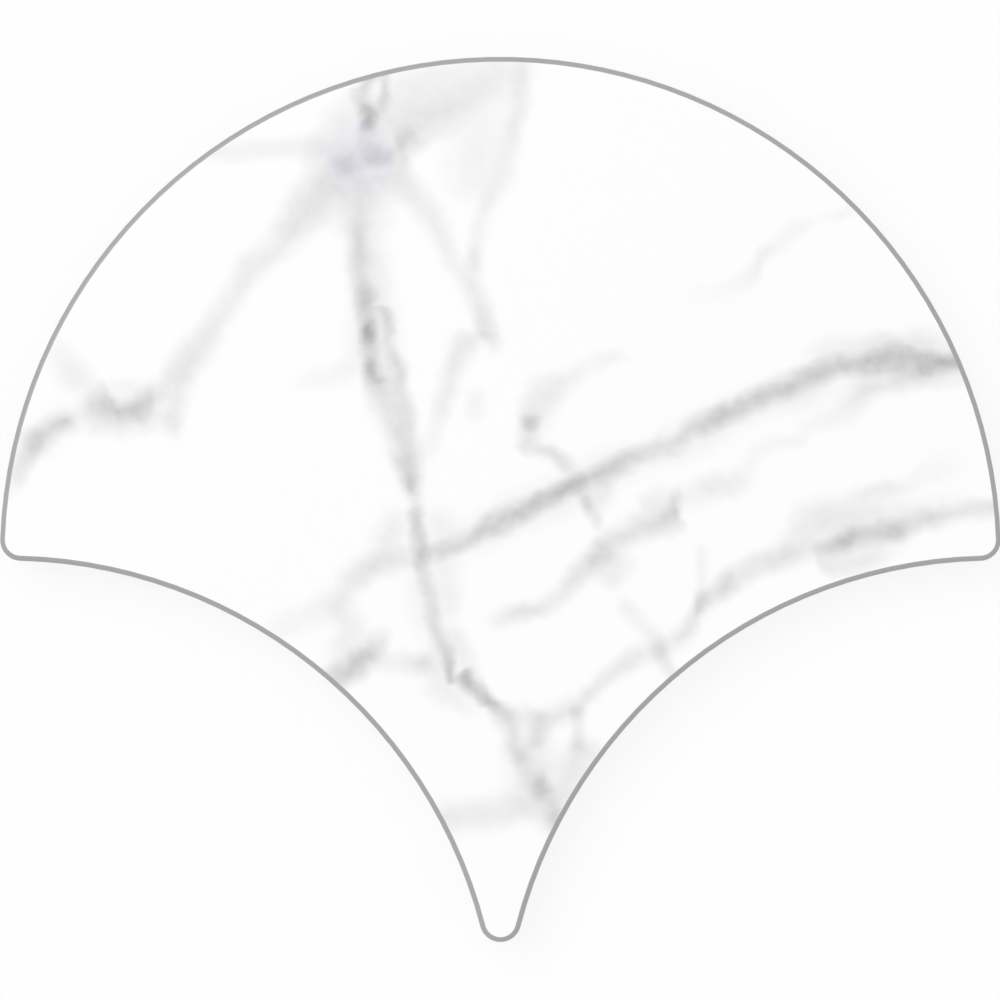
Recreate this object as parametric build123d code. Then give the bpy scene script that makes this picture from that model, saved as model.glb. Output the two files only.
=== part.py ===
from build123d import *

import os
from math import sqrt

# Fan-shaped wall tile: one pressed, glazed and fired ceramic piece, lying on its keyed back.
# Millimetres and degrees. The origin is the centre of the crown arc, on the plane of the back.
# +Y points to the crown, which is up on the wall, and +Z comes out of the glazed face.

# Face outline
crown_radius = 60.0  # half the width of the tile
flank_tightening = 1.5  # how much smaller the hollow flank arcs are than the crown
shoulder_drop = 0.4  # from the crown's centre line down to the top of the flank arcs
neck_width = 1.1  # what is left between the flank arcs at their closest, below the rounded foot
shoulder_radius = 2.5  # the two corners where the crown meets the flanks
foot_radius = 2.5  # the rounded end between the flanks

# Section, from the glazed face down
thickness = 8.0
arris_radius = 0.65  # rounded edge of the glazed face
band_height = 3.0  # upright upper part of the side, arris included
side_draft = 4.0  # lean of the side below the band, so that the back is the smaller end
back_chamfer = 0.5

# Keying channels pressed into the back
rib_pitch = 7.5  # from one channel's middle line to the next
channel_width = 4.5  # at the mouth
channel_depth = 0.8
channel_draft = 30.0  # lean of the channel walls
mouth_round = 0.25  # soft edge where the back turns into a channel
back_margin = 5.0  # plain land between the outline and the channels
shortest_channel = 4.0  # least distance between the middles of a channel's round ends

# Centre of the right flank arc; the left one is its mirror image
flank_radius = crown_radius - flank_tightening
flank_centre = Vector(flank_radius + neck_width / 2, -(flank_radius + shoulder_drop))


def mirrored(point):
    """The same point on the left half of the tile."""
    return Vector(-point.X, point.Y)


def on_arc(centre, towards, radius):
    """The point of an arc that lies in the direction of another point."""
    return centre + (towards - centre).normalized() * radius


def shoulder_centre():
    """Centre of the right corner arc, which touches the crown from inside and the flank from outside."""
    from_crown = crown_radius - shoulder_radius
    from_flank = flank_radius + shoulder_radius
    apart = flank_centre.length
    along = (apart**2 + from_crown**2 - from_flank**2) / (2 * apart)
    across = sqrt(from_crown**2 - along**2)
    direction = flank_centre.normalized()
    return direction * along + Vector(-direction.Y, direction.X) * across


def foot_centre():
    """Centre of the arc that rounds the foot and touches both flanks."""
    above_flank = sqrt((flank_radius + foot_radius) ** 2 - flank_centre.X**2)
    return Vector(0, flank_centre.Y + above_flank)


def fan_outline():
    """The face outline: six arcs that meet tangent to tangent, clockwise from the left shoulder."""
    shoulder = shoulder_centre()
    foot = foot_centre()
    crown_end = on_arc(Vector(0, 0), shoulder, crown_radius)
    flank_top = on_arc(flank_centre, shoulder, flank_radius)
    flank_end = on_arc(flank_centre, foot, flank_radius)
    shoulder_middle = on_arc(shoulder, (crown_end + flank_top) / 2, shoulder_radius)
    flank_middle = on_arc(flank_centre, (flank_top + flank_end) / 2, flank_radius)
    foot_end = foot - Vector(0, foot_radius)
    with BuildSketch() as outline:
        with BuildLine():
            ThreePointArc(mirrored(crown_end), (0, crown_radius), crown_end)
            ThreePointArc(crown_end, shoulder_middle, flank_top)
            ThreePointArc(flank_top, flank_middle, flank_end)
            ThreePointArc(flank_end, foot_end, mirrored(flank_end))
            ThreePointArc(mirrored(flank_end), mirrored(flank_middle), mirrored(flank_top))
            ThreePointArc(mirrored(flank_top), mirrored(shoulder_middle), mirrored(crown_end))
        make_face()
    return outline.sketch


def channel_reach(height):
    """Half the distance between the end middles of a channel at this height, held in by the margin."""
    inset = back_margin + channel_width / 2
    crown_room = (crown_radius - inset) ** 2 - height**2
    flank_room = (flank_radius + inset) ** 2 - (height - flank_centre.Y) ** 2
    reach = sqrt(max(crown_room, 0))
    if flank_room > 0:
        reach = min(reach, flank_centre.X - sqrt(flank_room))
    return reach


def channel_rows():
    """Height and reach of each keying channel. A rib, not a channel, runs through the origin."""
    rows_each_way = int(crown_radius / rib_pitch) + 1
    heights = [(row + 0.5) * rib_pitch for row in range(-rows_each_way, rows_each_way)]
    rows = [(height, channel_reach(height)) for height in heights]
    return [(height, reach) for height, reach in rows if 2 * reach >= shortest_channel]


def keying_channel(height, reach):
    """One channel as the solid that the press takes out of the back: a long round-ended tray."""
    with BuildPart() as channel:
        with BuildSketch():
            with Locations((0, height)):
                SlotCenterToCenter(2 * reach, channel_width)
        extrude(amount=channel_depth, taper=channel_draft)
    return channel.part


def fan_tile():
    """The whole tile: an upright band under the face, a drafted lower part and a keyed back."""
    relief_top = Plane.XY.offset(thickness - band_height)
    with BuildPart() as tile:
        with BuildSketch():
            add(fan_outline())
        extrude(amount=relief_top.origin.Z)
        sides = tile.faces().filter_by(GeomType.CYLINDER)
        draft(sides, -relief_top, side_draft)
        with BuildSketch(relief_top):
            add(fan_outline())
        extrude(amount=band_height)
        face = tile.faces().sort_by(Axis.Z)[-1]
        fillet(face.edges(), arris_radius)
        back = tile.faces().sort_by(Axis.Z)[0]
        chamfer(back.edges(), back_chamfer)
        for height, reach in channel_rows():
            add(keying_channel(height, reach), mode=Mode.SUBTRACT)
        back = tile.faces().sort_by(Axis.Z)[0]
        mouths = [edge for wire in back.inner_wires() for edge in wire.edges()]
        fillet(mouths, mouth_round)
    return tile.part


os.makedirs("parts", exist_ok=True)
export_step(fan_tile(), "parts/fan_tile.step")
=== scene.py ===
import math

import bpy
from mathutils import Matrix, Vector


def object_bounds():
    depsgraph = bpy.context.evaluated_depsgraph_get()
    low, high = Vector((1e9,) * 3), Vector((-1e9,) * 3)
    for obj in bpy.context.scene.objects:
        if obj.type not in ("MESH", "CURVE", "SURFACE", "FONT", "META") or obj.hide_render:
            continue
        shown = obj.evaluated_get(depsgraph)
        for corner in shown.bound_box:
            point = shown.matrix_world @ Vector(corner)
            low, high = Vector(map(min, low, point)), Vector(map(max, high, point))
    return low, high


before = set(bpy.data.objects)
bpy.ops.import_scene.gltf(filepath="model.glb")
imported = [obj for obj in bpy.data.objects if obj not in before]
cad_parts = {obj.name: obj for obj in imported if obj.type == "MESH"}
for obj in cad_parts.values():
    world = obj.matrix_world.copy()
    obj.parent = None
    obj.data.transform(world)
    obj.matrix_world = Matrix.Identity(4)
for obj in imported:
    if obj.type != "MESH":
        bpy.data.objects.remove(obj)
cad_low, cad_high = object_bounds()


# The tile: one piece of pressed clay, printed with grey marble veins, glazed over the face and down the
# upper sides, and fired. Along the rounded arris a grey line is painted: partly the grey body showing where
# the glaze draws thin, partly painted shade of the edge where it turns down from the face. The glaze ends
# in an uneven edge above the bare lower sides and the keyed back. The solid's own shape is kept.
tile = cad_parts["fan_tile"]
millimetre = 0.001
face_height = cad_high.z / millimetre

# Lengths on the tile are in millimetres, and a size is about how large the lumps of a noise are
glaze_white = (0.957, 0.957, 0.957, 1)
glaze_index = 1.5  # of refraction
glaze_edge = 4.5  # mean height at which the glaze ends on the sides
glaze_wander = 1.6  # how far that edge rises and falls
glaze_wander_size = 9.0
glaze_lip = 0.05  # half the height over which the glaze runs out at its edge
glaze_thickness = 0.14
satin_least = 0.17  # roughness of the glaze, which noise raises by up to satin_span
satin_span = 0.06
satin_size = 4.0
ripple_height = 0.006  # slow waves in the fired glaze
ripple_size = 5.0
peel_height = 0.0012  # fine orange peel on those waves
peel_size = 0.9

# The arris grey is partly the grey body under thin glaze and partly painted shade of the rounded edge
arris_grey_and_painted_shade = (0.367, 0.366, 0.37, 1)
arris_top = face_height - 0.0001  # the rounding of the edge starts just below the flat face
arris_full = face_height - 0.002  # from here down the rounding has its full grey
arris_foot = face_height - 0.65  # the rounding ends in the upright side
arris_fade = 0.35  # how far below its foot the grey passes into white
arris_roughness = 0.12  # added where the glaze is thin

body_grey = (0.60, 0.58, 0.55, 1)
body_roughness = 0.8
body_fleck = (0.40, 0.375, 0.345, 1)
fleck_size = 0.5
fleck_start, fleck_full = 0.58, 0.72  # levels of the noise at which a fleck shows and is full
grain_height = 0.05
grain_size = 0.4
kiln_wash = (0.74, 0.735, 0.72, 1)
wash_height = 0.12  # how far up from the back the wash reaches
wash_size = 6.0
wash_start, wash_full = 0.35, 0.6  # levels of the noise at which the wash shows and is full

vein_grey = (0.343, 0.343, 0.345, 1)
vein_lavender = (0.331, 0.316, 0.415, 1)
vein_node = (-16.9, 47.9, face_height)  # where the veins meet and turn faintly lavender
lavender_full, lavender_end = 3.4, 5.0  # distances from the node at which the tint is full and ends
vein_sway = 1.5  # width of the band in which noise moves a vein about its course
sway_size = 3.0
mottle_least = 0.71  # share of its ink that a vein keeps where it is palest, to which noise adds
mottle_span = 0.58  # most that it adds
mottle_size = 1.6

# Where the veins run on the face, as listed points. Each point is x, y and half width, and then
# ink, of which 1 is full vein_grey. A vein that runs off the tile keeps its ink beyond the edge, and any
# other fades out at its ends. Their number is a multiple of three, because three are drawn at once.
vein_courses = {
    "upright": [
        (-15.2, 60.0, 2.0, 0.50), (-15.5, 57.2, 2.1, 0.50), (-16.8, 55.2, 2.0, 0.26),
        (-15.8, 52.7, 1.6, 0.58), (-16.0, 51.2, 1.8, 0.28), (-16.0, 49.6, 2.0, 0.12),
        (-16.6, 45.5, 2.4, 0.04), (-16.9, 42.0, 2.6, 0.08), (-17.1, 39.0, 2.5, 0.22),
        (-17.2, 35.5, 2.2, 0.30), (-17.0, 33.2, 2.1, 0.27), (-16.2, 31.0, 2.0, 0.46),
        (-16.3, 29.2, 1.8, 0.28), (-15.9, 26.7, 1.7, 0.70), (-15.6, 24.6, 1.5, 0.24),
        (-15.4, 22.4, 1.9, 0.58), (-14.8, 21.0, 2.3, 0.46), (-14.0, 19.0, 3.0, 0.22),
        (-12.6, 16.5, 3.4, 0.27), (-11.6, 13.5, 3.0, 0.34), (-10.9, 10.8, 2.4, 0.43),
        (-10.5, 9.0, 2.2, 0.46), (-10.3, 7.0, 1.5, 0.18), (-10.0, 4.8, 1.5, 0.48),
        (-9.7, 2.0, 1.5, 0.47), (-9.4, -0.8, 1.5, 0.40), (-8.9, -3.5, 1.7, 0.29),
        (-8.3, -6.5, 1.7, 0.34), (-7.8, -8.6, 1.7, 0.37), (-7.1, -10.4, 1.8, 0.28),
        (-6.2, -11.8, 1.4, 0.48), (-5.9, -13.8, 1.2, 0.54), (-5.8, -15.4, 1.0, 0.0),
    ],
    "upright haze": [
        (-15.2, 46.5, 2.0, 0.0), (-16.5, 43.0, 6.6, 0.27), (-16.8, 40.2, 5.6, 0.21),
        (-15.9, 36.0, 3.6, 0.22), (-15.4, 31.0, 4.0, 0.24), (-15.2, 26.0, 4.4, 0.27),
        (-13.8, 22.4, 3.4, 0.23), (-13.1, 17.5, 3.4, 0.07), (-11.8, 13.0, 2.8, 0.06),
        (-10.8, 9.2, 2.8, 0.12), (-10.2, 6.2, 1.5, 0.0),
    ],
    "upright strand": [
        (-15.4, 29.9, 1.1, 0.0), (-13.9, 29.3, 1.4, 0.30), (-13.2, 27.6, 1.4, 0.30),
        (-13.2, 25.6, 1.4, 0.16), (-12.3, 23.2, 1.6, 0.28), (-11.8, 20.0, 1.8, 0.26),
        (-11.1, 17.0, 1.8, 0.18), (-10.6, 14.0, 1.6, 0.0),
    ],
    "upright, lower haze": [
        (-10.8, 3.0, 2.0, 0.0), (-10.4, -1.5, 2.6, 0.07), (-10.0, -5.0, 2.8, 0.09),
        (-9.0, -9.0, 2.6, 0.06), (-8.0, -12.0, 2.0, 0.0),
    ],
    "node": [
        (-24.4, 46.8, 2.6, 0.0), (-21.6, 47.6, 5.2, 0.20), (-18.8, 48.3, 6.4, 0.32),
        (-16.4, 48.2, 5.6, 0.35), (-14.2, 48.6, 5.0, 0.33), (-12.6, 48.8, 4.0, 0.20),
        (-10.8, 49.0, 2.4, 0.0),
    ],
    "node, left blot": [
        (-21.0, 47.0, 1.6, 0.0), (-18.6, 46.9, 2.5, 0.23), (-16.4, 46.8, 2.0, 0.0),
    ],
    "node, right blot": [
        (-17.0, 47.6, 1.6, 0.0), (-14.6, 47.9, 2.4, 0.24), (-12.4, 48.4, 1.5, 0.0),
    ],
    "crown strand": [
        (-13.7, 59.6, 1.1, 0.24), (-13.8, 56.0, 1.2, 0.32), (-14.2, 54.0, 1.3, 0.24),
        (-15.0, 52.0, 1.2, 0.0),
    ],
    "crown wedge": [
        (-13.4, 45.6, 2.0, 0.0), (-11.8, 47.6, 3.0, 0.24), (-11.1, 50.2, 3.0, 0.44),
        (-9.2, 51.2, 3.0, 0.24), (-7.0, 52.4, 3.4, 0.21), (-5.0, 53.9, 3.3, 0.15),
        (-3.0, 55.4, 3.2, 0.08), (0.0, 57.0, 3.0, 0.04), (3.0, 58.6, 2.0, 0.0),
    ],
    "crown haze": [
        (-22.4, 52.2, 2.2, 0.0), (-18.0, 53.2, 3.8, 0.13), (-13.8, 53.6, 4.8, 0.21),
        (-10.5, 55.2, 5.6, 0.21), (-7.0, 56.2, 5.6, 0.20), (-3.0, 57.2, 5.2, 0.18),
        (0.5, 58.0, 4.6, 0.17), (3.0, 58.4, 3.0, 0.09), (5.0, 58.6, 2.0, 0.0),
    ],
    "crown middle haze": [
        (-16.0, 51.4, 2.0, 0.0), (-12.8, 52.4, 2.6, 0.08), (-9.4, 53.2, 2.6, 0.07),
        (-6.4, 53.8, 2.2, 0.04), (-4.0, 54.4, 1.5, 0.0),
    ],
    "crown edge": [
        (2.6, 61.0, 1.8, 0.10), (2.5, 57.0, 1.9, 0.14), (2.1, 54.0, 2.2, 0.21),
        (1.5, 51.5, 2.0, 0.19), (0.9, 49.0, 2.1, 0.15), (-0.2, 45.2, 2.6, 0.13),
        (-1.5, 42.5, 1.9, 0.17), (-2.5, 40.0, 1.8, 0.13), (-2.9, 38.0, 1.7, 0.13),
        (-3.0, 36.0, 1.7, 0.26), (-3.2, 33.8, 1.7, 0.10), (-2.9, 31.4, 1.4, 0.0),
    ],
    "crown inner haze": [
        (-1.0, 57.0, 3.0, 0.0), (-2.0, 52.0, 5.0, 0.11), (-3.0, 48.0, 5.6, 0.14),
        (-3.6, 45.0, 5.0, 0.12), (-4.4, 41.4, 3.0, 0.0),
    ],
    "level streak": [
        (-38.0, 48.4, 1.6, 0.08), (-33.0, 48.6, 2.0, 0.14), (-27.0, 49.0, 2.0, 0.14),
        (-23.5, 49.2, 2.0, 0.15), (-21.0, 49.4, 2.2, 0.07), (-18.6, 49.4, 2.0, 0.0),
    ],
    "left": [
        (-17.2, 47.6, 2.0, 0.0), (-19.6, 45.6, 3.4, 0.16), (-22.1, 43.2, 4.2, 0.33),
        (-24.8, 39.4, 3.6, 0.30), (-27.2, 36.8, 3.0, 0.20), (-30.0, 34.4, 2.8, 0.23),
        (-32.7, 30.2, 2.4, 0.19), (-35.2, 26.6, 2.8, 0.24), (-38.0, 22.7, 3.3, 0.30),
        (-38.8, 19.0, 2.8, 0.22), (-39.2, 16.4, 2.2, 0.17), (-39.6, 13.8, 1.6, 0.0),
    ],
    "left swag": [
        (-39.4, 20.4, 1.7, 0.0), (-41.0, 19.4, 2.3, 0.28), (-42.6, 18.4, 2.6, 0.50),
        (-45.0, 17.5, 2.1, 0.44), (-46.8, 18.5, 3.1, 0.47), (-48.3, 18.4, 3.0, 0.34),
        (-50.0, 18.2, 2.1, 0.16), (-51.6, 17.6, 1.6, 0.0),
    ],
    "left tail": [
        (-50.4, 17.6, 1.6, 0.0), (-51.7, 16.7, 2.2, 0.26), (-52.7, 16.2, 2.5, 0.42),
        (-54.3, 15.1, 2.4, 0.36), (-55.8, 13.9, 2.6, 0.48), (-56.8, 12.0, 2.3, 0.30),
        (-57.6, 10.2, 1.9, 0.28), (-58.6, 8.4, 1.6, 0.10), (-60.0, 6.0, 1.2, 0.0),
    ],
    "left swag haze": [
        (-37.6, 15.8, 1.6, 0.0), (-41.0, 16.6, 2.4, 0.18), (-45.0, 16.3, 2.8, 0.24),
        (-47.8, 16.5, 2.8, 0.28), (-50.8, 16.8, 2.0, 0.0),
    ],
    "left swag, upper haze": [
        (-38.6, 21.2, 1.6, 0.0), (-42.0, 20.2, 2.2, 0.08), (-45.6, 19.9, 2.2, 0.12),
        (-48.2, 19.6, 2.2, 0.05), (-50.6, 19.2, 1.6, 0.0),
    ],
    "left tail haze": [
        (-49.4, 18.0, 1.6, 0.0), (-52.4, 16.4, 3.4, 0.10), (-55.4, 13.4, 3.4, 0.10),
        (-58.4, 11.0, 2.0, 0.0),
    ],
    "left spur": [
        (-56.0, 26.8, 2.0, 0.07), (-52.8, 24.0, 3.0, 0.12), (-51.2, 22.0, 3.2, 0.18),
        (-49.6, 20.6, 2.6, 0.12), (-47.8, 19.2, 2.0, 0.0),
    ],
    "branch": [
        (-13.8, 46.6, 2.0, 0.0), (-12.4, 45.4, 3.0, 0.18), (-10.9, 43.9, 2.8, 0.24),
        (-9.0, 41.8, 2.8, 0.20), (-7.6, 39.7, 2.3, 0.20), (-6.5, 37.2, 2.1, 0.17),
        (-5.3, 35.0, 1.9, 0.15), (-4.0, 32.8, 2.0, 0.18), (-2.7, 30.6, 2.2, 0.23),
        (-1.9, 28.0, 2.1, 0.31), (-0.9, 26.0, 2.0, 0.17), (-0.2, 24.2, 1.6, 0.0),
    ],
    "branch return": [
        (0.4, 26.3, 1.8, 0.0), (-2.4, 26.5, 2.4, 0.20), (-4.6, 25.0, 2.5, 0.25),
        (-5.4, 23.2, 2.3, 0.24), (-6.2, 20.8, 2.1, 0.20), (-7.0, 18.3, 2.0, 0.20),
        (-7.6, 15.8, 1.9, 0.11), (-8.6, 13.2, 1.8, 0.10), (-9.6, 10.8, 1.5, 0.0),
    ],
    "speck": [
        (-3.2, 20.8, 1.4, 0.0), (-3.0, 18.0, 2.2, 0.13), (-2.9, 15.8, 1.5, 0.0),
    ],
    "faint left": [
        (-25.5, 20.6, 1.5, 0.0), (-22.5, 21.4, 1.8, 0.08), (-20.5, 21.8, 2.2, 0.09),
        (-18.3, 22.6, 2.4, 0.12), (-16.4, 24.0, 2.0, 0.0),
    ],
    "faint right": [
        (44.0, 42.0, 1.2, 0.08), (41.0, 41.2, 1.4, 0.09), (38.5, 40.4, 1.3, 0.03),
        (35.7, 39.6, 1.7, 0.11), (33.6, 37.8, 2.0, 0.10), (31.4, 36.2, 1.8, 0.18),
        (30.0, 33.8, 2.0, 0.14), (27.5, 32.2, 2.2, 0.07), (24.0, 31.7, 2.0, 0.04),
        (20.5, 30.8, 1.8, 0.0),
    ],
    "hook, upper": [
        (16.5, 24.0, 1.5, 0.0), (13.0, 23.9, 2.0, 0.12), (10.5, 22.9, 2.0, 0.09),
        (8.0, 21.3, 2.4, 0.17), (5.5, 19.7, 3.4, 0.24), (4.2, 17.7, 3.6, 0.25),
        (3.4, 15.3, 3.0, 0.28), (2.8, 13.6, 2.2, 0.22), (2.4, 12.2, 1.4, 0.0),
    ],
    "hook blot": [
        (1.9, 16.3, 1.2, 0.0), (3.4, 16.2, 1.5, 0.34), (5.2, 16.2, 1.1, 0.0),
    ],
    "hook, lower": [
        (2.2, 13.9, 1.4, 0.0), (3.8, 13.5, 1.6, 0.10), (5.3, 12.7, 1.9, 0.32),
        (6.8, 12.0, 1.7, 0.36), (8.0, 10.9, 1.8, 0.24), (9.0, 9.6, 1.6, 0.08),
        (9.6, 8.4, 1.2, 0.0),
    ],
    "offshoot": [
        (9.2, 8.4, 1.4, 0.0), (9.9, 7.4, 1.4, 0.18), (10.4, 6.4, 1.3, 0.34),
        (11.0, 5.2, 1.2, 0.16), (11.4, 4.1, 1.1, 0.22), (11.9, 2.8, 1.0, 0.0),
    ],
    "offshoot haze": [
        (13.2, 9.6, 2.0, 0.0), (12.2, 7.8, 2.4, 0.17), (11.6, 6.2, 1.9, 0.15),
        (11.2, 4.0, 1.2, 0.0),
    ],
    "diagonal": [
        (-9.8, 0.0, 1.2, 0.0), (-8.0, 0.6, 1.8, 0.30), (-5.8, 1.2, 1.8, 0.31),
        (-4.0, 2.0, 1.9, 0.32), (-2.0, 3.4, 2.3, 0.43), (0.0, 4.3, 2.5, 0.43),
        (3.0, 5.7, 2.2, 0.48), (6.0, 7.3, 1.9, 0.49), (8.8, 8.6, 1.9, 0.62),
        (11.5, 9.8, 2.0, 0.40), (14.0, 11.0, 2.2, 0.40), (17.0, 12.4, 2.2, 0.31),
        (20.3, 13.5, 2.0, 0.25), (23.0, 15.5, 2.4, 0.30), (27.0, 17.1, 2.3, 0.48),
        (31.0, 19.1, 2.3, 0.48), (35.0, 20.7, 2.4, 0.42), (38.5, 22.5, 2.3, 0.50),
        (42.0, 22.9, 2.3, 0.61), (45.5, 23.4, 2.2, 0.62), (48.0, 24.0, 2.5, 0.50),
        (50.5, 23.3, 2.5, 0.64), (53.0, 23.3, 2.0, 0.72), (59.0, 23.3, 1.9, 0.72),
    ],
    "diagonal haze": [
        (-10.0, 0.0, 2.4, 0.0), (-6.0, 1.3, 3.6, 0.09), (1.0, 4.8, 4.0, 0.14),
        (9.0, 8.2, 4.2, 0.15), (14.0, 11.2, 4.0, 0.14), (18.0, 12.3, 3.6, 0.10),
        (24.0, 15.0, 4.0, 0.16), (30.0, 18.2, 3.8, 0.10), (36.4, 20.2, 3.6, 0.19),
        (40.5, 22.0, 3.0, 0.0),
    ],
    "diagonal end, upper": [
        (35.0, 24.0, 1.2, 0.0), (39.0, 25.0, 2.2, 0.12), (43.0, 25.2, 2.5, 0.19),
        (47.2, 25.3, 2.4, 0.30), (50.0, 25.6, 2.9, 0.26), (54.0, 25.0, 2.8, 0.15),
        (59.0, 24.8, 2.6, 0.18),
    ],
    "diagonal end, lower": [
        (39.5, 18.4, 2.0, 0.0), (43.0, 20.2, 2.8, 0.20), (46.0, 21.1, 2.4, 0.26),
        (48.6, 21.8, 2.5, 0.47), (51.6, 21.7, 2.2, 0.22), (59.0, 21.6, 2.0, 0.10),
    ],
    "diagonal wisp": [
        (34.5, 15.2, 1.5, 0.0), (38.0, 16.2, 2.2, 0.10), (41.0, 17.4, 2.6, 0.12),
        (43.5, 19.2, 2.4, 0.12), (46.0, 20.8, 2.0, 0.0),
    ],
    "tail": [
        (-9.6, 0.3, 2.0, 0.0), (-11.4, 0.1, 2.4, 0.20), (-13.5, -0.5, 2.7, 0.25),
        (-15.4, -1.2, 2.6, 0.31), (-17.2, -2.3, 2.6, 0.27), (-18.8, -4.0, 3.0, 0.19),
        (-20.4, -5.8, 3.2, 0.16), (-23.0, -7.0, 3.0, 0.11), (-26.0, -8.2, 2.6, 0.10),
        (-29.5, -9.6, 2.0, 0.0),
    ],
    "tail haze": [
        (-11.6, 6.6, 2.4, 0.0), (-12.4, 4.2, 3.2, 0.17), (-13.4, 2.2, 3.4, 0.19),
        (-14.0, 0.4, 3.0, 0.10), (-14.6, -1.6, 2.6, 0.0),
    ],
    "inner haze": [
        (-7.4, 7.0, 2.6, 0.0), (-7.2, 4.0, 3.4, 0.14), (-7.0, 1.0, 3.2, 0.08),
        (-6.6, -2.0, 3.4, 0.15), (-6.2, -5.2, 2.8, 0.16), (-6.0, -8.2, 2.0, 0.0),
    ],
    "foot": [
        (-4.5, -13.3, 1.2, 0.0), (-3.8, -14.9, 2.0, 0.72), (-2.8, -16.1, 1.7, 0.60),
        (-1.6, -17.2, 1.7, 0.70), (-0.1, -18.1, 2.2, 0.43), (1.0, -19.8, 2.4, 0.34),
        (1.5, -22.0, 2.3, 0.25), (2.1, -23.8, 2.2, 0.31), (3.3, -25.6, 2.2, 0.14),
        (4.8, -27.6, 2.0, 0.42), (5.6, -29.4, 2.2, 0.14), (6.7, -31.6, 2.0, 0.22),
        (9.0, -35.0, 2.0, 0.22),
    ],
    "foot fill": [
        (1.6, -19.0, 2.0, 0.0), (3.2, -22.4, 4.6, 0.16), (4.2, -25.6, 5.6, 0.24),
        (4.8, -28.6, 5.0, 0.27), (5.6, -31.0, 3.4, 0.20), (6.6, -34.0, 2.0, 0.0),
    ],
    "foot edge": [
        (12.0, -21.2, 1.6, 0.0), (9.8, -23.7, 3.4, 0.26), (9.0, -25.8, 3.2, 0.23),
        (8.0, -28.2, 2.6, 0.17), (6.8, -30.6, 2.2, 0.15), (5.6, -33.4, 1.5, 0.0),
    ],
    "foot blot": [
        (4.2, -17.6, 1.5, 0.0), (4.8, -19.4, 2.2, 0.20), (4.7, -20.8, 2.2, 0.30),
        (4.4, -22.0, 1.9, 0.28), (4.2, -23.4, 1.3, 0.0),
    ],
    "foot link": [
        (8.8, -17.4, 1.3, 0.0), (9.2, -19.2, 1.5, 0.24), (9.3, -20.8, 1.4, 0.20),
        (9.3, -22.2, 1.6, 0.20), (9.4, -24.0, 1.5, 0.0),
    ],
    "foot cloud": [
        (-9.4, -32.4, 2.6, 0.22), (-6.2, -31.2, 3.2, 0.24), (-4.0, -30.9, 3.4, 0.22),
        (-1.0, -30.6, 3.4, 0.22), (2.0, -30.0, 3.0, 0.18), (4.5, -29.6, 2.2, 0.0),
    ],
    "heel haze": [
        (-8.6, -9.8, 2.0, 0.0), (-7.8, -13.0, 3.0, 0.18), (-6.8, -15.6, 3.0, 0.18),
        (-4.6, -17.6, 2.4, 0.12), (-2.6, -19.4, 1.8, 0.0),
    ],
    "heel, upper haze": [
        (-7.0, -7.4, 1.6, 0.0), (-5.4, -10.2, 2.6, 0.20), (-4.2, -12.6, 2.2, 0.16),
        (-3.4, -15.4, 1.6, 0.0),
    ],
    "flank": [
        (-13.2, -8.0, 1.4, 0.0), (-14.5, -9.9, 2.3, 0.24), (-16.0, -11.7, 2.4, 0.50),
        (-17.4, -13.1, 2.7, 0.51), (-18.9, -14.0, 2.8, 0.46), (-22.0, -16.4, 2.7, 0.36),
    ],
    "flank link": [
        (-16.0, -11.8, 1.5, 0.0), (-14.0, -12.3, 2.4, 0.17), (-12.0, -12.6, 2.2, 0.16),
        (-9.5, -12.8, 2.2, 0.30), (-8.0, -12.5, 2.0, 0.10), (-6.4, -11.8, 1.6, 0.0),
    ],
    "flank haze": [
        (-19.6, -3.6, 2.0, 0.0), (-18.8, -6.0, 3.0, 0.12), (-18.0, -8.2, 3.0, 0.18),
        (-18.2, -10.6, 4.0, 0.18), (-18.0, -12.8, 3.4, 0.11), (-17.0, -16.0, 2.4, 0.0),
    ],
    "second diagonal": [
        (21.5, 8.2, 1.5, 0.0), (20.9, 6.5, 2.2, 0.30), (20.7, 4.8, 2.8, 0.46),
        (18.6, 4.0, 2.8, 0.36), (16.4, 3.4, 2.7, 0.34), (13.8, 2.0, 2.6, 0.31),
        (11.8, 0.1, 2.5, 0.46), (10.2, -1.2, 2.3, 0.34), (8.2, -3.2, 2.2, 0.29),
        (6.0, -5.4, 2.1, 0.19), (3.0, -6.3, 2.0, 0.32), (0.6, -7.2, 2.1, 0.20),
        (-2.2, -8.2, 1.6, 0.0),
    ],
    "second diagonal, lower haze": [
        (15.8, 1.0, 2.4, 0.0), (14.0, -0.8, 3.0, 0.18), (13.0, -2.2, 3.0, 0.18),
        (11.4, -3.6, 2.4, 0.0),
    ],
    "second diagonal, far haze": [
        (16.6, 5.6, 2.4, 0.0), (18.4, 6.4, 3.0, 0.18), (22.0, 7.2, 2.8, 0.12),
        (25.8, 8.6, 2.6, 0.23), (28.2, 9.0, 2.6, 0.17), (30.2, 11.2, 2.4, 0.09),
        (32.0, 13.4, 2.0, 0.09), (35.0, 14.0, 1.6, 0.10), (38.0, 14.5, 1.4, 0.0),
    ],
    "right": [
        (63.0, 5.9, 1.8, 0.28), (59.0, 5.9, 2.0, 0.30), (56.5, 5.7, 2.0, 0.28),
        (54.0, 5.2, 1.9, 0.26), (51.6, 4.6, 2.0, 0.41), (49.5, 4.0, 2.2, 0.36),
        (47.5, 3.2, 2.3, 0.57), (45.8, 3.0, 2.2, 0.50), (44.0, 2.6, 2.1, 0.42),
        (41.8, 2.2, 2.1, 0.61), (39.6, 1.3, 1.9, 0.43), (37.6, 1.0, 2.0, 0.29),
        (36.0, 0.5, 2.2, 0.16), (34.0, 0.0, 2.4, 0.24), (31.4, -0.7, 2.4, 0.27),
        (29.2, -1.9, 2.3, 0.26), (27.0, -3.4, 2.6, 0.42), (25.4, -4.5, 2.2, 0.30),
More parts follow.
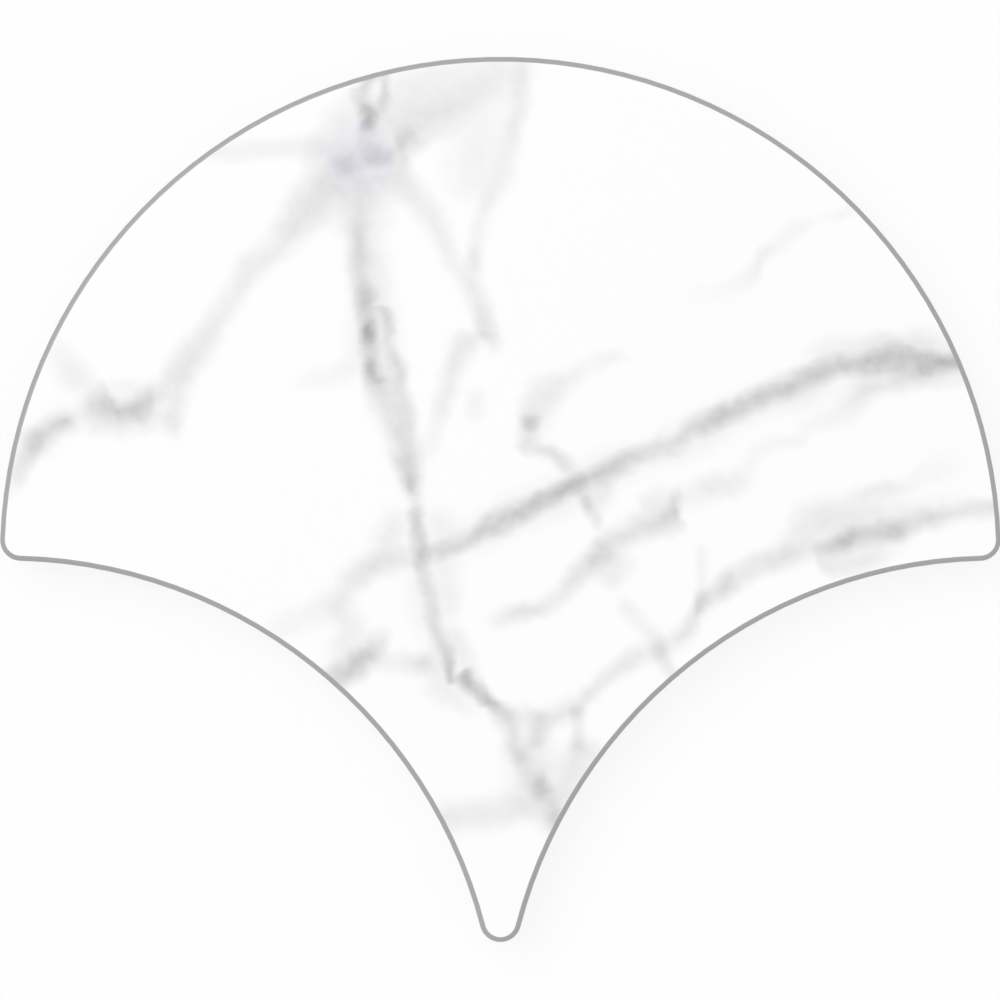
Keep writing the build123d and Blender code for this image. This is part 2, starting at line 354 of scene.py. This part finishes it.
        (23.9, -5.7, 2.5, 0.52), (23.2, -7.6, 2.5, 0.27), (21.9, -9.2, 2.2, 0.27),
        (20.2, -10.2, 1.8, 0.14), (18.2, -11.0, 1.5, 0.0),
    ],
    "right upper haze": [
        (31.5, -0.4, 2.0, 0.0), (34.6, 1.6, 3.2, 0.17), (37.2, 3.9, 4.4, 0.24),
        (40.8, 4.6, 4.4, 0.26), (44.4, 5.2, 3.8, 0.22), (47.4, 5.6, 3.0, 0.14),
        (50.0, 6.0, 2.4, 0.11), (53.5, 6.4, 2.2, 0.08), (57.0, 6.8, 2.0, 0.0),
    ],
    "right lower haze": [
        (37.4, -0.2, 1.4, 0.0), (39.0, -0.7, 2.4, 0.24), (42.0, -0.6, 2.8, 0.24),
        (45.0, 0.3, 2.6, 0.19), (47.0, 1.0, 2.0, 0.08), (49.0, 1.7, 1.6, 0.0),
    ],
    "right streak": [
        (41.2, 7.4, 1.2, 0.0), (43.6, 7.8, 1.7, 0.13), (46.2, 8.2, 1.7, 0.19),
        (48.2, 8.5, 1.7, 0.12), (50.4, 9.7, 2.2, 0.08), (53.0, 10.8, 2.8, 0.07),
        (56.5, 12.2, 2.0, 0.0),
    ],
    "lower": [
        (20.6, -9.8, 1.5, 0.0), (18.8, -11.1, 1.8, 0.14), (16.6, -11.9, 2.2, 0.22),
        (14.8, -12.8, 2.1, 0.26), (13.2, -14.1, 2.0, 0.22), (11.7, -15.4, 1.9, 0.23),
        (10.2, -16.7, 1.9, 0.27), (8.6, -18.1, 2.1, 0.26), (6.5, -19.0, 2.3, 0.25),
        (4.0, -19.0, 2.4, 0.20), (1.8, -19.0, 2.0, 0.10), (-0.3, -18.8, 1.5, 0.0),
    ],
    "thread": [
        (13.8, -4.6, 1.2, 0.0), (15.2, -6.2, 1.7, 0.15), (16.7, -7.8, 1.7, 0.12),
        (18.2, -9.6, 1.7, 0.18), (19.2, -11.4, 1.7, 0.30), (19.9, -13.0, 1.6, 0.22),
        (21.2, -15.6, 1.4, 0.16),
    ],
    "drop": [
        (24.0, 2.2, 1.0, 0.0), (24.0, 0.2, 1.3, 0.12), (24.0, -2.2, 1.3, 0.12),
        (24.0, -4.8, 1.3, 0.0),
    ],
}


class Value:
    """One output socket of a node tree. Python's arithmetic on values and numbers adds Math nodes."""

    def __init__(self, nodes, socket):
        self.nodes = nodes
        self.socket = socket

    def math(self, operation, first, second):
        sockets = {"Value": first, "Value_001": second}
        return self.nodes.add("ShaderNodeMath", {"operation": operation}, sockets)

    def __add__(self, other):
        return self.math("ADD", self, other)

    def __radd__(self, other):
        return self.math("ADD", other, self)

    def __sub__(self, other):
        return self.math("SUBTRACT", self, other)

    def __rsub__(self, other):
        return self.math("SUBTRACT", other, self)

    def __mul__(self, other):
        return self.math("MULTIPLY", self, other)

    def __rmul__(self, other):
        return self.math("MULTIPLY", other, self)


class Nodes:
    """A node tree that is filled from an empty one."""

    def __init__(self, tree):
        self.tree = tree
        tree.nodes.clear()

    def add(self, kind, settings=None, sockets=None, output=None):
        """Adds one node: its settings first, then the values or links of its sockets, by identifier."""
        node = self.tree.nodes.new(kind)
        for name, setting in (settings or {}).items():
            setattr(node, name, setting)
        inputs = {socket.identifier: socket for socket in node.inputs}
        for name, value in (sockets or {}).items():
            if isinstance(value, Value):
                self.tree.links.new(value.socket, inputs[name])
            else:
                inputs[name].default_value = value
        outputs = {socket.identifier: socket for socket in node.outputs}
        if not outputs:
            return None
        return Value(self, outputs[output] if output else node.outputs[0])

    def vector(self, operation, *vectors, output="Vector"):
        """Vector maths, on three values at once."""
        sockets = dict(zip(("Vector", "Vector_001", "Vector_002"), vectors))
        return self.add("ShaderNodeVectorMath", {"operation": operation}, sockets, output)

    def curves(self, vector, lines):
        """Each part of a vector, put through a smooth curve along its own line of points from 0 to 1."""
        result = self.add("ShaderNodeVectorCurve", None, {"Vector": vector})
        mapping = result.socket.node.mapping
        mapping.extend = "HORIZONTAL"
        for curve, line in zip(mapping.curves, lines):
            curve.points[0].location = line[0]
            curve.points[1].location = line[-1]
            for point in line[1:-1]:
                curve.points.new(*point)
            for point in curve.points:
                point.handle_type = "AUTO_CLAMPED"
        mapping.update()
        return result

    def part(self, vector, axis):
        """One of X, Y and Z of a vector."""
        return self.add("ShaderNodeSeparateXYZ", None, {"Vector": vector}, axis)

    def threefold(self, value):
        """A vector that has the value on all three axes."""
        return self.add("ShaderNodeCombineXYZ", None, {"X": value, "Y": value, "Z": value})

    def rise(self, value, low, high):
        """0 up to low, then smoothly up to 1 at high. With low above high it falls instead."""
        sockets = {"Value": value, "From Min": low, "From Max": high}
        return self.add("ShaderNodeMapRange", {"interpolation_type": "SMOOTHSTEP"}, sockets)

    def blend(self, share, first, second):
        """The first colour, passing into the second with share."""
        sockets = {"Factor_Float": share, "A_Color": first, "B_Color": second}
        return self.add("ShaderNodeMix", {"data_type": "RGBA"}, sockets, "Result_Color")

    def noise(self, place, size, detail=2.0, output="Fac"):
        """Soft noise whose lumps are about size across."""
        sockets = {"Vector": place, "Scale": 1 / size, "Detail": detail}
        return self.add("ShaderNodeTexNoise", None, sockets, output)


class Course:
    """A vein's points, measured along and across the straight line from its first point to its last.

    Both measures are scaled: the vein runs from 0 to 1 along the line and stays within 0 to 1 across.
    """

    def __init__(self, points):
        start = Vector(points[0][:2])
        places = [Vector((x, y)) - start for x, y, half_width, ink in points]
        half_widths = [half_width for x, y, half_width, ink in points]
        inks = [ink for x, y, half_width, ink in points]
        run = places[-1]
        aside = run.orthogonal().normalized()
        offsets = [place.dot(aside) for place in places]
        lowest = min(offsets)
        span = max(max(offsets) - lowest, max(half_widths))
        self.along = run / run.length_squared
        self.along_start = -start.dot(self.along)
        self.across = aside / span
        self.across_start = -start.dot(self.across) - lowest / span
        steps = [place.dot(self.along) for place in places]
        self.middles = [(step, (offset - lowest) / span) for step, offset in zip(steps, offsets)]
        self.half_widths = [(step, half_width / span) for step, half_width in zip(steps, half_widths)]
        self.inks = list(zip(steps, inks))


def veins(nodes, east, north, courses):
    """Ink of three veins, one on each axis of the result, because three at once shade far faster."""

    def measure(directions, starts):
        northward = nodes.vector("MULTIPLY_ADD", north, [direction.y for direction in directions], starts)
        return nodes.vector("MULTIPLY_ADD", east, [direction.x for direction in directions], northward)

    along = measure([course.along for course in courses], [course.along_start for course in courses])
    across = measure([course.across for course in courses], [course.across_start for course in courses])
    middle = nodes.curves(along, [course.middles for course in courses])
    half_width = nodes.curves(along, [course.half_widths for course in courses])
    ink = nodes.curves(along, [course.inks for course in courses])
    off_middle = nodes.vector("ABSOLUTE", nodes.vector("SUBTRACT", across, middle))
    settings = {"data_type": "FLOAT_VECTOR", "interpolation_type": "SMOOTHSTEP"}
    sockets = {
        "Vector": nodes.vector("DIVIDE", off_middle, half_width),
        "From_Min_FLOAT3": (1, 1, 1),
        "From_Max_FLOAT3": (0, 0, 0),
        "To_Max_FLOAT3": ink,
    }
    return nodes.add("ShaderNodeMapRange", settings, sockets, "Vector")


def tile_finish():
    """Glaze, veins, arris and bare body in one material, by place on the tile."""
    material = bpy.data.materials.new("glazed_tile")
    material.use_nodes = True
    nodes = Nodes(material.node_tree)
    metres = nodes.add("ShaderNodeTexCoord", None, None, "Object")
    place = nodes.vector("MULTIPLY", metres, (1 / millimetre,) * 3)
    height = nodes.part(place, "Z")

    # Veins wander a little from their drawn courses and are mottled. The mean of a noise is 0.5.
    sway = nodes.vector("SUBTRACT", nodes.noise(place, sway_size, output="Color"), (0.5, 0.5, 0.5))
    wandering = nodes.vector("MULTIPLY_ADD", sway, (vein_sway, vein_sway, 0.0), place)
    east = nodes.threefold(nodes.part(wandering, "X"))
    north = nodes.threefold(nodes.part(wandering, "Y"))
    courses = [Course(points) for points in vein_courses.values()]
    total = (0.0, 0.0, 0.0)
    for first in range(0, len(courses), 3):
        total = nodes.vector("ADD", veins(nodes, east, north, courses[first:first + 3]), total)
    ink = nodes.vector("DOT_PRODUCT", total, (1, 1, 1), output="Value")
    ink = ink * (mottle_least + mottle_span * nodes.noise(place, mottle_size))
    printed = nodes.rise(height, arris_foot, face_height)
    from_node = nodes.vector("DISTANCE", place, vein_node, output="Value")
    vein_colour = nodes.blend(nodes.rise(from_node, lavender_end, lavender_full), vein_grey, vein_lavender)
    face = nodes.blend(ink * printed, glaze_white, vein_colour)

    # The arris: thin glaze over the grey body, and painted shade of the edge as it turns down from the face
    below_face = nodes.rise(height, arris_top, arris_full)
    arris = below_face * nodes.rise(height, arris_foot - arris_fade, arris_foot)
    glazed_colour = nodes.blend(arris, face, arris_grey_and_painted_shade)

    # The bare body below the glaze's edge
    edge = glaze_edge + glaze_wander * (nodes.noise(place, glaze_wander_size, detail=3.0) - 0.5)
    glazed = nodes.rise(height - edge, -glaze_lip, glaze_lip)
    fleck = nodes.rise(nodes.noise(place, fleck_size), fleck_start, fleck_full)
    bare = nodes.blend(fleck, body_grey, body_fleck)
    patches = nodes.rise(nodes.noise(place, wash_size, detail=4.0), wash_start, wash_full)
    wash = nodes.rise(height, wash_height, 0.0) * patches
    bare = nodes.blend(wash, bare, kiln_wash)
    colour = nodes.blend(glazed, bare, glazed_colour)

    # Gloss and fine relief
    satin = satin_least + satin_span * nodes.noise(place, satin_size)
    roughness = body_roughness + (satin + arris_roughness * arris - body_roughness) * glazed
    ripple = ripple_height * nodes.noise(place, ripple_size, detail=1.0)
    peel = peel_height * nodes.noise(place, peel_size, detail=1.0)
    grain = grain_height * nodes.noise(place, grain_size, detail=3.0)
    relief = glazed * (ripple + peel + glaze_thickness) + (1 - glazed) * grain
    normal = nodes.add("ShaderNodeBump", None, {"Height": relief, "Distance": millimetre}, "Normal")

    sockets = {"Base Color": colour, "Roughness": roughness, "Normal": normal, "IOR": glaze_index}
    shader = nodes.add("ShaderNodeBsdfPrincipled", None, sockets)
    nodes.add("ShaderNodeOutputMaterial", None, {"Surface": shader})
    return material


tile.material_slots[0].material = tile_finish()


# The floor: a plain white matt sheet, level with the tile's back, that the tile lies on. It shows mostly as
# plain white to the camera and in reflections, and it still takes the tile's soft shadow.
floor_half = 3.0  # metres, half the length of a side
floor_white = (0.94, 0.94, 0.94, 1)
floor_glow = 0.82  # share of the floor's look that is plain white, without shadow
floor_mesh = bpy.data.meshes.new("floor")
corners = [(x * floor_half, y * floor_half, cad_low.z) for x, y in ((-1, -1), (1, -1), (1, 1), (-1, 1))]
floor_mesh.from_pydata(corners, [], [(0, 1, 2, 3)])
floor = bpy.data.objects.new("floor", floor_mesh)
bpy.context.scene.collection.objects.link(floor)


def seen_directly(nodes):
    """1 for the rays that show the background itself: camera, mirror and see-through rays."""
    rays = ("Is Camera Ray", "Is Glossy Ray", "Is Transmission Ray")
    camera, mirror, through = [nodes.add("ShaderNodeLightPath", None, None, ray) for ray in rays]
    return camera + mirror + through


def floor_finish():
    """Matt white that shows mostly as plain white."""
    material = bpy.data.materials.new("floor")
    material.use_nodes = True
    nodes = Nodes(material.node_tree)
    matt = nodes.add("ShaderNodeBsdfDiffuse", None, {"Color": floor_white})
    white = nodes.add("ShaderNodeEmission", None, {"Color": (1, 1, 1, 1), "Strength": 1.0})
    share = seen_directly(nodes) * floor_glow
    mixed = nodes.add("ShaderNodeMixShader", None, {"Fac": share, "Shader": matt, "Shader_001": white})
    nodes.add("ShaderNodeOutputMaterial", None, {"Surface": mixed})
    return material


floor_mesh.materials.append(floor_finish())


# The light: an even white room, which shows as plain white where it is seen itself, and one large soft lamp
# that hangs over the tile's upper left and points at its middle.
room_level = 0.82  # how bright the room is as a light
lamp_width = 2.4  # metres
lamp_power = 29.2  # watts
lamp_place = Vector((-1.25, 1.1, 2.9))  # metres
world = bpy.data.worlds.new("room")
bpy.context.scene.world = world
world.use_nodes = True
room = Nodes(world.node_tree)
strength = room_level + (1 - room_level) * seen_directly(room)
background = room.add("ShaderNodeBackground", None, {"Color": (1, 1, 1, 1), "Strength": strength})
room.add("ShaderNodeOutputWorld", None, {"Surface": background})

lamp_data = bpy.data.lights.new("soft lamp", "AREA")
lamp_data.shape = "DISK"
lamp_data.size = lamp_width
lamp_data.energy = lamp_power
lamp = bpy.data.objects.new("soft lamp", lamp_data)
lamp.location = lamp_place
lamp.rotation_euler = (-lamp_place).to_track_quat("-Z", "Y").to_euler()
bpy.context.scene.collection.objects.link(lamp)


# The camera: straight above the tile with the crown up, through a long lens, and as far off as makes the
# picture frame_width wide at the foot of the arris, where the tile's outline is.
frame_width = 119.85 * millimetre
frame_middle = (-0.05 * millimetre, 6.88 * millimetre)
lens_length = 200
camera_data = bpy.data.cameras.new("camera")
camera_data.lens = lens_length
camera = bpy.data.objects.new("camera", camera_data)
stand_off = frame_width / 2 / math.tan(camera_data.angle / 2)
camera.location = (*frame_middle, arris_foot * millimetre + stand_off)
bpy.context.scene.collection.objects.link(camera)
bpy.context.scene.camera = camera
bpy.context.scene.view_settings.view_transform = "Standard"
